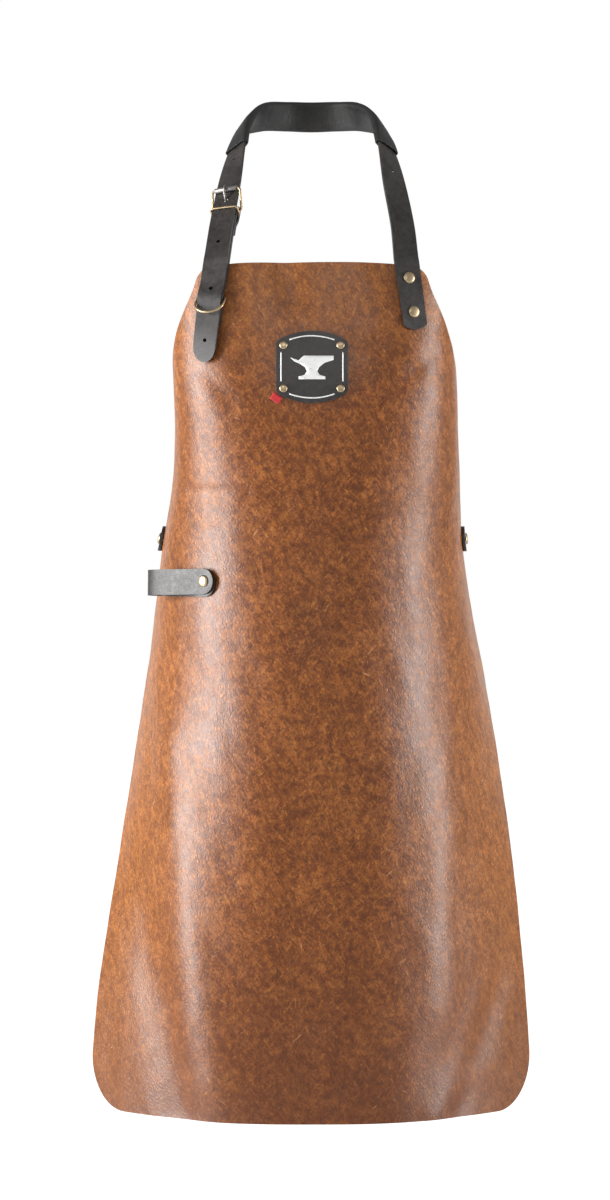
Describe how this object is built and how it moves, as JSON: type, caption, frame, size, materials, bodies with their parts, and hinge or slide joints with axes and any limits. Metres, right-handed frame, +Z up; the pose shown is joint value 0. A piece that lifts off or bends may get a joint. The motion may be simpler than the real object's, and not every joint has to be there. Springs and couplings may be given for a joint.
{
  "type": "leather blacksmith apron",
  "caption": "Brown leather bib apron shown as worn: curved bib and skirt, adjustable black neck strap with nape sleeve, badge, side towel loop and waist belt",
  "frame": {"origin": "the nape: inner face of the neck sleeve, halfway across, where the apron hangs on the wearer's neck", "axes": "+Z up as worn, -Y to the front of the apron, +X to the viewer's right when facing its front"},
  "size_m": [0.4512, 0.2436, 1.0434],
  "materials": {
    "brown_leather": "brown pull-up cow leather, waxy, mottled, fine pebble grain with light scuffs",
    "black_leather": "firm black strap leather, half gloss, fine grain",
    "soft_leather": "soft matt black leather",
    "brass": "antique brass, worn bright on the edges",
    "steel": "dull grey steel",
    "red_ribbon": "fine ribbed red ribbon"
  },
  "bodies": {
    "root": {"apron_body": "brown_leather", "neck_strap": "black_leather", "neck_sleeve": "soft_leather", "strap_rivet_right_upper": "brass", "strap_rivet_right_lower": "brass", "buckle_strap": "black_leather", "strap_rivet_left_upper": "brass", "strap_rivet_left_lower": "brass", "strap_rivet_fold": "brass", "buckle_frame": "brass", "buckle_roller": "steel", "buckle_prong": "steel", "keeper_wire": "brass", "d_ring": "brass", "badge": "black_leather", "badge_rivet_upper_left": "brass", "badge_rivet_upper_right": "brass", "badge_rivet_lower_left": "brass", "badge_rivet_lower_right": "brass", "red_tab": "red_ribbon", "side_loop": "black_leather", "side_loop_rivet": "brass", "waist_strap_left": "black_leather", "waist_rivet_left": "brass", "waist_strap_right": "black_leather", "waist_rivet_right": "brass", "waist_clasp": "brass"}
  },
  "joints": []
}
